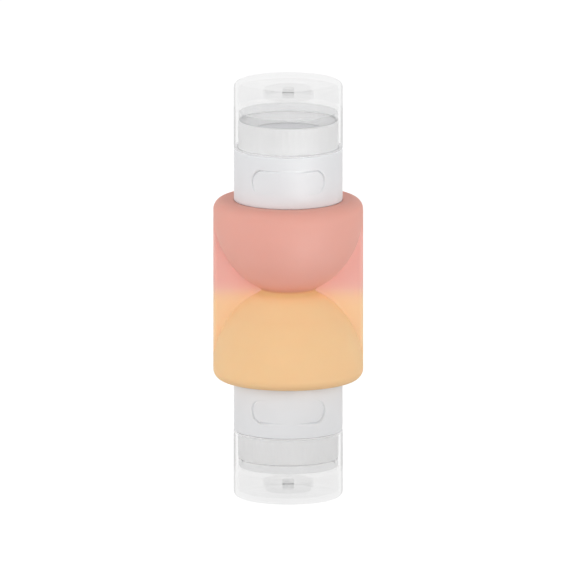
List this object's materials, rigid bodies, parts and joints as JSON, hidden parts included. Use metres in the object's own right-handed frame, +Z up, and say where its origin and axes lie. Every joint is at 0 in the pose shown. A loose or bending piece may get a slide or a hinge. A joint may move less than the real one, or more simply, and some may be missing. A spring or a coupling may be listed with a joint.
{
  "type": "double-ended travel bottle",
  "caption": "Squeezable silicone hourglass bottle with a separate chamber, screw-on dispensing cap and clear pull-off cap at each end.",
  "frame": {"origin": "middle of the lower clear cap's flat end face, on which the bottle stands", "axes": "+Z up along the bottle towards the upper cap; the label recesses face -Y; the flat web lies in the XZ plane"},
  "size_m": [0.048, 0.048, 0.135],
  "materials": {
    "silicone_body": "soft matte silicone, pink above the waist blending to orange below",
    "white_plastic": "satin white moulded plastic",
    "clear_plastic": "clear polished plastic",
    "soft_seal": "translucent soft rubber",
    "valve_silicone": "smooth grey translucent silicone"
  },
  "bodies": {
    "bottle": {"squeeze_body": "silicone_body", "upper_collar": "white_plastic", "lower_collar": "white_plastic", "upper_neck_insert": "white_plastic", "lower_neck_insert": "white_plastic"},
    "upper_gasket": {"upper_neck_gasket": "soft_seal"},
    "upper_head": {"upper_dispensing_cap": "white_plastic", "upper_slit_valve": "valve_silicone", "upper_valve_retainer": "white_plastic"},
    "upper_cap": {"upper_clear_cap": "clear_plastic", "upper_cap_seal": "soft_seal"},
    "lower_gasket": {"lower_neck_gasket": "soft_seal"},
    "lower_head": {"lower_dispensing_cap": "white_plastic", "lower_slit_valve": "valve_silicone", "lower_valve_retainer": "white_plastic"},
    "lower_cap": {"lower_clear_cap": "clear_plastic", "lower_cap_seal": "soft_seal"}
  },
  "joints": [
    {"name": "upper_head_rise", "type": "slide", "parent": "bottle", "child": "upper_gasket", "axis": [0, 0, 1], "range_m": [0, 0.0048]},
    {"name": "upper_head_turn", "type": "hinge", "parent": "upper_gasket", "child": "upper_head", "pos_m": [0, 0, 0.1134], "axis": [0, 0, 1], "range_deg": [0, 540]},
    {"name": "upper_cap_pull", "type": "slide", "parent": "upper_head", "child": "upper_cap", "axis": [0, 0, 1], "range_m": [0, 0.012]},
    {"name": "lower_head_rise", "type": "slide", "parent": "bottle", "child": "lower_gasket", "axis": [0, 0, -1], "range_m": [0, 0.0048]},
    {"name": "lower_head_turn", "type": "hinge", "parent": "lower_gasket", "child": "lower_head", "pos_m": [0, 0, 0.0216], "axis": [0, 0, -1], "range_deg": [0, 540]},
    {"name": "lower_cap_pull", "type": "slide", "parent": "lower_head", "child": "lower_cap", "axis": [0, 0, -1], "range_m": [0, 0.012]}
  ],
  "couplings": [
    {"joint": "upper_head_turn", "follows": "upper_head_rise", "rad_per_m": 1963.5},
    {"joint": "lower_head_turn", "follows": "lower_head_rise", "rad_per_m": 1963.5}
  ]
}
